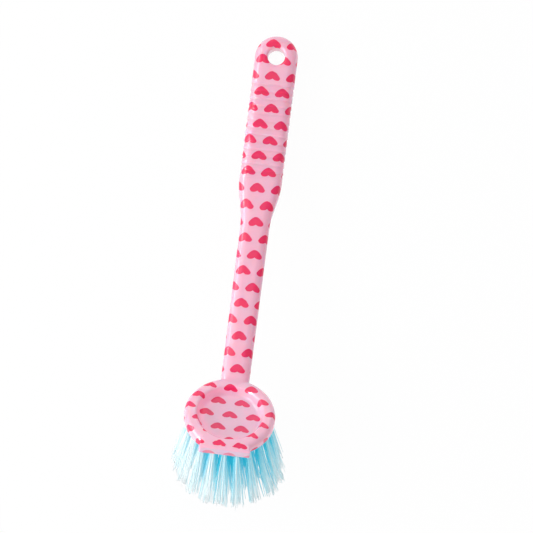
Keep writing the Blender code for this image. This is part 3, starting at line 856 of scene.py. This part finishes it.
def make_tuft(name, share, length, matrix, random):
    """Filaments from a packed root to a fan of ragged tips, wider along its ring than across it. The tips
    draw together in clumps. Each filament is a thin prism along root + (tip - root) s^spread + 4 s (1 - s)
    bend, for s from 0 at the mouth to 1, and lies on the table where it would go through it."""

    def spiral(count, offset):
        """Points spread evenly over a unit disc."""
        order = np.arange(count)
        turn = order * GOLDEN_ANGLE + offset
        return np.stack((np.cos(turn), np.sin(turn)), -1) * np.sqrt((order + 0.5) / count)[:, None]

    def half_shared():
        """A number from 0 to 1 for each filament, which the filaments of one clump partly share."""
        shared = random.random(CLUMPS)[clump]
        return CLUMP_SHARE * shared + (1 - CLUMP_SHARE) * random.random(FILAMENTS)

    heading = spiral(FILAMENTS, random.uniform(0, 2 * math.pi))
    clumps = spiral(CLUMPS, random.uniform(0, 2 * math.pi))
    clump = np.argmin(np.linalg.norm(heading[:, None] - clumps, axis=2), axis=1)
    root = heading * ROOT_RADIUS
    scatter = np.where(random.random(FILAMENTS) < STRAY_SHARE, STRAY_SCATTER, TIP_SCATTER)
    tip = (heading + (clumps[clump] - heading) * CLUMP_PULL) * (FAN_DEPTH, FAN_WIDTH)
    tip *= 1 if share == 1 else INNER_FAN
    tip += random.normal(0, 1, (FILAMENTS, 2)) * scatter[:, None]
    reach = length + OVERREACH - RAGGEDNESS * half_shared() ** RAGGED_POWER
    bend = random.normal(0, BEND, (FILAMENTS, 2))
    station = np.concatenate(([0], np.linspace(0, 1, FILAMENT_STATIONS)))
    wave = (4 * station * (1 - station))[:, None] * bend[:, None]
    lines = np.empty((FILAMENTS, len(station), 3))
    lines[..., :2] = root[:, None] + (tip - root)[:, None] * (station ** SPREAD_POWER)[:, None] + wave
    lines[..., 2] = -reach[:, None] * station
    lines[:, 0, 2] = ROOT_DEPTH
    lines = moved(lines, matrix)
    sideways = matrix[0][3] / OUTER_RING_RADIUS
    forwards = np.clip(-matrix[1][3] / OUTER_RING_RADIUS, 0, 1)
    lines[..., 0] += (LEAN + SIDE_LEAN * np.clip(sideways, 0, 1) ** 3 * forwards) * station ** LEAN_POWER
    lines[..., 1] -= FRONT_LEAN * forwards ** 2 * station ** LEAN_POWER
    lines = placed(lines)
    lines[:, 1:, 2] = np.maximum(lines[:, 1:, 2], FILAMENT_RADIUS * (1 + random.random(FILAMENTS))[:, None])
    # Painted shade, as a stronger cyan of each filament: inside the brush, on its tuft's inner side and
    # flanks, and towards the brush's right
    beside = abs(sideways)
    shade = SHADE_INSIDE * (1 - share) + SHADE_INNER_SIDE * (1 - heading[:, 0])
    shade += SHADE_FLANKS * (1 - SHADE_FLANK_LOSS * beside) * heading[:, 1] ** 2
    shade += SHADE_RIGHT * sideways - SHADE_SIDE_LOSS * beside - SHADE_LOSS

    along = lines[:, -1] - lines[:, 0]
    along /= np.linalg.norm(along, axis=1, keepdims=True)
    side = np.cross(along, OFF_AXIS)
    side /= np.linalg.norm(side, axis=1, keepdims=True)
    other = np.cross(along, side)
    angle = 2 * math.pi * np.arange(FILAMENT_SIDES)[:, None] / FILAMENT_SIDES
    rim = np.cos(angle) * side[:, None] + np.sin(angle) * other[:, None]
    radius = FILAMENT_RADIUS * (1 - FILAMENT_TAPER * station ** 3)
    points = lines[:, :, None] + rim[:, None] * radius[:, None, None]
    here = np.arange(points.size // 3).reshape(points.shape[:3])
    there = np.roll(here, -1, axis=2)
    quads = np.stack((here[:, :-1], there[:, :-1], there[:, 1:], here[:, 1:]), -1).reshape(-1, 4)
    ends = here[:, 0, ::-1].tolist() + here[:, -1].tolist()
    mesh = bpy.data.meshes.new(name)
    mesh.from_pydata(points.reshape(-1, 3).tolist(), [], quads.tolist() + ends)
    store(mesh, "tone", np.repeat(half_shared(), here[0].size))
    store(mesh, "reach", np.tile(np.repeat(station, FILAMENT_SIDES), FILAMENTS))
    store(mesh, "shade", np.repeat(shade, here[0].size))
    bm = bmesh.new()
    bm.from_mesh(mesh)
    bmesh.ops.recalc_face_normals(bm, faces=bm.faces)
    bm.to_mesh(mesh)
    bm.free()
    mesh.shade_smooth()
    mesh.materials.append(NYLON)
    return new_object(name + "_filaments", mesh)


# Materials


class Nodes:
    """The nodes of a material or a world, with sums written as calls."""

    def __init__(self, owner, shader="Principled BSDF"):
        self.owner = owner
        owner.use_nodes = True
        self.tree = owner.node_tree
        self.shader = self.tree.nodes[shader]

    def put(self, socket, value):
        """Links an output to the socket, or gives it a value of its own."""
        if isinstance(value, bpy.types.NodeSocket):
            self.tree.links.new(value, socket)
        else:
            socket.default_value = value

    def add(self, kind, inputs=None, **settings):
        """A new node, with its settings and what goes into its inputs."""
        node = self.tree.nodes.new(kind)
        for key, value in settings.items():
            setattr(node, key, value)
        for key, value in (inputs or {}).items():
            self.put(node.inputs[key], value)
        return node

    def sum(self, operation, *values, clamp=False):
        node = self.add("ShaderNodeMath", dict(enumerate(values)), operation=operation, use_clamp=clamp)
        return node.outputs[0]

    def times(self, first, second):
        return self.sum("MULTIPLY", first, second)

    def less(self, first, second, clamp=False):
        """first - second"""
        return self.sum("SUBTRACT", first, second, clamp=clamp)

    def scaled(self, value, factor, offset, clamp=False):
        """value * factor + offset"""
        return self.sum("MULTIPLY_ADD", value, factor, offset, clamp=clamp)

    def mix(self, share, first, second):
        return self.add("ShaderNodeMix", {0: share, 6: first, 7: second}, data_type="RGBA").outputs[2]

    def noise(self, vector, scale, detail=2.0):
        node = self.add("ShaderNodeTexNoise", {"Vector": vector, "Scale": scale, "Detail": detail})
        return node.outputs["Fac"]

    def stored(self, name):
        """The number kept at the mesh's points under a label."""
        return self.add("ShaderNodeAttribute", attribute_name=name).outputs["Fac"]

    def ranged(self, value, low, high):
        """low + (high - low) * value"""
        node = self.add("ShaderNodeMapRange", {"Value": value, "To Min": low, "To Max": high})
        return node.outputs[0]

    def finish(self, settings):
        """Sets the shader's own inputs, from their labels."""
        for label, value in settings.items():
            self.put(self.shader.inputs[label], value)


def linear(colour):
    """Linear colour of 8-bit display values."""
    shares = [value / 255 for value in colour]
    return tuple(s / 12.92 if s <= 0.04045 else ((s + 0.055) / 1.055) ** 2.4 for s in shares) + (1,)


def heart_mask(nodes, chart):
    """(1 inside a printed heart, depth inside it, 1 on the head, 1 on the lip's front face, where a
    reflection is painted). In a lattice cell with x across and t up its height, a heart lies between a blunt
    dome, falling as a power of x, and two lobes that meet in a shallow notch. Each heart is shifted and
    tilted a little by chance."""
    split = nodes.add("ShaderNodeSeparateXYZ", {"Vector": chart})
    region = nodes.sum("FLOOR", nodes.sum("ADD", split.outputs[0], 0.5))
    on_head = nodes.sum("GREATER_THAN", region, 0.5)
    on_lip = nodes.sum("GREATER_THAN", region, 1.5)
    on_painted_reflection = nodes.sum("GREATER_THAN", region, 2.5)
    across = nodes.less(split.outputs[0], region)
    rows = nodes.sum("DIVIDE", split.outputs[1], HEART_ROW)
    row = nodes.sum("FLOOR", rows)
    odd = nodes.sum("FLOORED_MODULO", row, 2.0)
    columns = nodes.scaled(odd, 0.5, nodes.sum("DIVIDE", across, HEART_PITCH))
    column = nodes.sum("FLOOR", columns)
    cell = nodes.add("ShaderNodeCombineXYZ", {"X": column, "Y": row, "Z": region})
    chance = nodes.add("ShaderNodeTexWhiteNoise", {"Vector": cell.outputs[0]}, noise_dimensions="3D")
    random = nodes.add("ShaderNodeSeparateColor", {"Color": chance.outputs["Color"]})
    x = nodes.times(nodes.less(nodes.less(columns, column), 0.5), HEART_PITCH)
    y = nodes.times(nodes.less(nodes.less(rows, row), 0.5), HEART_ROW)
    x = nodes.sum("DIVIDE", x, nodes.scaled(on_head, HEAD_HEART_SCALE[0] - 1, 1.0))
    height = nodes.scaled(on_lip, -LIP_HEART_SHRINK, 1.0)
    y = nodes.sum("DIVIDE", y, nodes.scaled(on_head, HEAD_HEART_SCALE[1] - 1, height))
    wobble = nodes.less(nodes.noise(chart, WOBBLE_SCALE, detail=1.0), 0.5)
    x = nodes.scaled(nodes.less(random.outputs[0], 0.5), HEART_SHIFT, x)
    x = nodes.scaled(wobble, HEART_WOBBLE[0], x)
    tilt = nodes.times(nodes.less(random.outputs[1], 0.5), HEART_TILT)
    y = nodes.scaled(tilt, x, y)
    y = nodes.scaled(wobble, HEART_WOBBLE[1], y)
    half = nodes.sum("DIVIDE", nodes.sum("ABSOLUTE", x), HEART_WIDTH / 2)
    inner = nodes.less(1.0, nodes.sum("POWER", half, HEART_POWER), clamp=True)
    inner = nodes.sum("POWER", inner, HEART_BLUNTNESS)
    dome = nodes.scaled(inner, 1 - HEART_SIDE, HEART_SIDE)
    notch = nodes.less(1.0, nodes.sum("DIVIDE", half, HEART_NOTCH_REACH), clamp=True)
    notch = nodes.times(nodes.times(notch, notch), HEART_NOTCH)
    outer = nodes.less(half, HEART_LOBE_START)
    outer = nodes.sum("DIVIDE", outer, 1 - HEART_LOBE_START, clamp=True)
    outer = nodes.less(1.0, nodes.times(outer, outer))
    lobe = nodes.scaled(nodes.sum("SQRT", outer), -HEART_SIDE, HEART_SIDE)
    foot = nodes.sum("ADD", notch, lobe)
    up = nodes.sum("DIVIDE", nodes.sum("ADD", y, HEART_HEIGHT / 2), HEART_HEIGHT)
    inside = nodes.sum("MINIMUM", nodes.less(dome, up), nodes.less(up, foot))
    beyond = nodes.sum("MAXIMUM", nodes.less(half, 1.0), 0.0)
    inside = nodes.scaled(beyond, -HEART_FALL, inside)
    edge = {"Value": inside, "From Min": -HEART_EDGE, "From Max": HEART_EDGE}
    edge = nodes.add("ShaderNodeMapRange", edge, interpolation_type="SMOOTHSTEP")
    return edge.outputs[0], inside, on_head, on_painted_reflection


def pink_plastic():
    """Glossy pale pink plastic with printed crimson hearts under a clear coat. It carries a painted pink glow
    all over, stronger in the dish's wall and on the head's outer wall. The head's paler pink is partly
    painted sheen, and the lip's front face has a painted reflection.
    """
    nodes = Nodes(bpy.data.materials.new("printed pink plastic"))
    chart = nodes.add("ShaderNodeUVMap", uv_map="print").outputs[0]
    place = nodes.add("ShaderNodeTexCoord").outputs["Object"]
    cloud = nodes.noise(place, CLOUD_SCALE, detail=3.0)
    grain = nodes.noise(place, GRAIN_SCALE)
    print_share, inside, on_head, on_painted_reflection = heart_mask(nodes, chart)
    # Painted sheen, in part: the head takes a paler pink than the handle
    base = nodes.mix(on_head, linear(HANDLE_PINK), linear(HEAD_PINK_AND_SHEEN))
    base = nodes.mix(nodes.times(cloud, CLOUD_SHARE), base, linear(CLOUD_PINK))
    # Painted reflection: the lip's front face is paler and bluer, with its print half veiled
    base = nodes.mix(on_painted_reflection, base, linear(LIP_EDGE_REFLECTION_PINK))
    heart = nodes.mix(cloud, *map(linear, HEART_REDS))
    heart = nodes.mix(nodes.times(grain, GRAIN_SHARE), heart, linear(HEART_GRAIN_RED))
    bleed = nodes.add("ShaderNodeMapRange", {"Value": inside, "From Min": BLEED_START, "From Max": BLEED_END,
                                             "To Min": BLEED_SHARE, "To Max": 0.0})
    heart = nodes.mix(bleed.outputs[0], heart, linear(HEART_RIM_RED))
    print_under_reflection = nodes.times(print_share, nodes.scaled(on_painted_reflection, -REFLECTION_PRINT_LOSS, 1.0))
    ripple = {"Height": nodes.noise(place, RIPPLE_SCALE), "Strength": 0.12, "Distance": 0.1 * MM}
    nodes.finish({
        "Base Color": nodes.mix(print_under_reflection, base, heart),
        "Roughness": nodes.ranged(cloud, 0.42, 0.5),
        "Normal": nodes.add("ShaderNodeBump", ripple).outputs["Normal"],
        "Coat Weight": 1.0,
        "Coat Roughness": 0.02,
        "Specular IOR Level": 0.15,
        "Subsurface Weight": 0.8,
        "Subsurface Scale": 8.0 * MM,
        "Subsurface Radius": (1.0, 0.12, 0.18),
        # Painted glow: the plastic and its hearts give off light of their own, more in the dish's wall and on
        # the head's outer wall
        "Emission Color": nodes.mix(print_under_reflection, linear(PAINTED_GLOW_PINK), linear(PAINTED_GLOW_RED)),
        "Emission Strength": nodes.scaled(nodes.stored("dish"), PAINTED_DISH_GLOW, PAINTED_PINK_GLOW),
    })
    return nodes.owner


def pale_nylon():
    """Pale blue nylon with painted shade, a stronger cyan near the roots, inside the brush and to its right,
    and a painted glow that is strongest where it is shaded.
    """
    nodes = Nodes(bpy.data.materials.new("pale blue nylon"))
    tone, reach, shade = [nodes.stored(name) for name in ("tone", "reach", "shade")]
    place = nodes.add("ShaderNodeTexCoord").outputs["Object"]
    pale = nodes.mix(tone, *map(linear, PALE_NYLONS))
    shaded_nylon = nodes.mix(tone, *map(linear, SHADED_NYLONS))
    streak = nodes.scaled(nodes.times(tone, tone), -STREAK_LOSS, STREAK_BASE)
    # Painted shade: stronger cyan towards the roots, paler towards the tips
    share = nodes.scaled(reach, -TIP_LOSS, ROOT_SHADE)
    share = nodes.sum("ADD", nodes.sum("ADD", shade, streak), share)
    grain = nodes.less(nodes.noise(place, NYLON_GRAIN_SCALE), 0.5)
    share = nodes.scaled(grain, NYLON_GRAIN_SHARE, share, clamp=True)
    colour = nodes.mix(share, pale, shaded_nylon)
    nodes.finish({
        "Base Color": colour,
        "Roughness": nodes.ranged(tone, 0.3, 0.45),
        # Painted glow: the nylon gives off light of its own colour, more where it is shaded, standing in for
        # light carried through the filaments
        "Emission Color": colour,
        "Emission Strength": nodes.scaled(share, PAINTED_SHADED_NYLON_GLOW, PAINTED_NYLON_GLOW),
    })
    return nodes.owner


PINK = pink_plastic()
NYLON = pale_nylon()


# Pieces

moulding = make_moulding()
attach(moulding, "root")
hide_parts("handle")

random = np.random.default_rng(7)
for tuft_name, *placement in tuft_placements():
    tuft = make_tuft(tuft_name, *placement, random)
    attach(tuft, "root")
    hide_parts(tuft_name)


# Stage


def white_table():
    """Table that renders white to the camera, to reflections and through the filaments, and still darkens
    where the brush shades it."""
    nodes = Nodes(bpy.data.materials.new("white table"))
    diffuse = nodes.add("ShaderNodeBsdfDiffuse", {"Color": (TABLE_GREY, TABLE_GREY, TABLE_GREY, 1)})
    glow = nodes.add("ShaderNodeEmission", {"Color": (1, 1, 1, 1), "Strength": 1.0})
    path = nodes.add("ShaderNodeLightPath")
    seen = nodes.sum("MAXIMUM", path.outputs["Is Camera Ray"], path.outputs["Is Transmission Ray"])
    seen = nodes.sum("MAXIMUM", seen, path.outputs["Is Glossy Ray"])
    seen = nodes.times(seen, TABLE_GLOW_SHARE)
    blend = nodes.add("ShaderNodeMixShader", {0: seen, 1: diffuse.outputs[0], 2: glow.outputs[0]})
    nodes.put(nodes.tree.nodes["Material Output"].inputs["Surface"], blend.outputs[0])
    return nodes.owner


def make_table():
    """A wide square just under the brush."""
    mesh = bpy.data.meshes.new("table")
    corners = [(TABLE_HALF * x, TABLE_HALF * y, -TABLE_DROP) for x, y in ((-1, -1), (1, -1), (1, 1), (-1, 1))]
    mesh.from_pydata(corners, [], [(0, 1, 2, 3)])
    mesh.materials.append(white_table())
    table = new_object("table", mesh)


def make_world():
    """White to the camera. As a light it is soft all round and somewhat stronger from the left."""
    nodes = Nodes(bpy.data.worlds.new("studio"), "Background")
    bpy.context.scene.world = nodes.owner
    direction = nodes.add("ShaderNodeTexCoord").outputs["Generated"]
    rightwards = nodes.add("ShaderNodeSeparateXYZ", {0: direction}).outputs[0]
    light = nodes.add("ShaderNodeMapRange", {"Value": rightwards, "From Min": -1, "From Max": 1,
                                             "To Min": WORLD_LEFT, "To Max": WORLD_RIGHT})
    seen = nodes.add("ShaderNodeLightPath").outputs["Is Camera Ray"]
    nodes.finish({"Color": (1, 1, 1, 1), "Strength": nodes.ranged(seen, light.outputs[0], 1.0)})


def make_lamp(name, size, power, place, matte=True):
    """Rectangular lamp that faces the brush. One that isn't matte lights nothing but the gloss."""
    data = bpy.data.lights.new(name, "AREA")
    data.shape = "RECTANGLE"
    data.size, data.size_y = size
    data.energy = power
    lamp = new_object(name, data)
    lamp.location = place
    lamp.rotation_euler = (Vector(LAMP_AIM) - Vector(place)).to_track_quat("-Z", "Y").to_euler()
    lamp.visible_diffuse = matte


def make_camera():
    """Looks at the target from its distance, turned as the photograph's camera was."""
    azimuth, elevation, roll = CAMERA_AZIMUTH, CAMERA_ELEVATION, CAMERA_ROLL
    forward = Vector((-math.sin(azimuth) * math.cos(elevation), math.cos(azimuth) * math.cos(elevation),
                      -math.sin(elevation)))
    level = Vector((math.cos(azimuth), math.sin(azimuth), 0))
    upright = level.cross(forward)
    right = level * math.cos(roll) + upright * math.sin(roll)
    up = upright * math.cos(roll) - level * math.sin(roll)
    data = bpy.data.cameras.new("camera")
    data.sensor_width = SENSOR_WIDTH
    data.lens = CAMERA_FOCAL_PIXELS / IMAGE_PIXELS * SENSOR_WIDTH
    data.clip_start, data.clip_end = 0.05, 20
    camera = new_object("camera", data)
    camera.rotation_euler = Matrix((right, up, -forward)).transposed().to_euler()
    camera.location = Vector(CAMERA_TARGET) - forward * CAMERA_DISTANCE
    bpy.context.scene.camera = camera


make_table()
make_world()
for lamp in LAMPS:
    make_lamp(*lamp)
for lamp in GLOSS_LAMPS:
    make_lamp(*lamp, matte=False)
make_camera()
bpy.context.scene.view_settings.view_transform = "Standard"
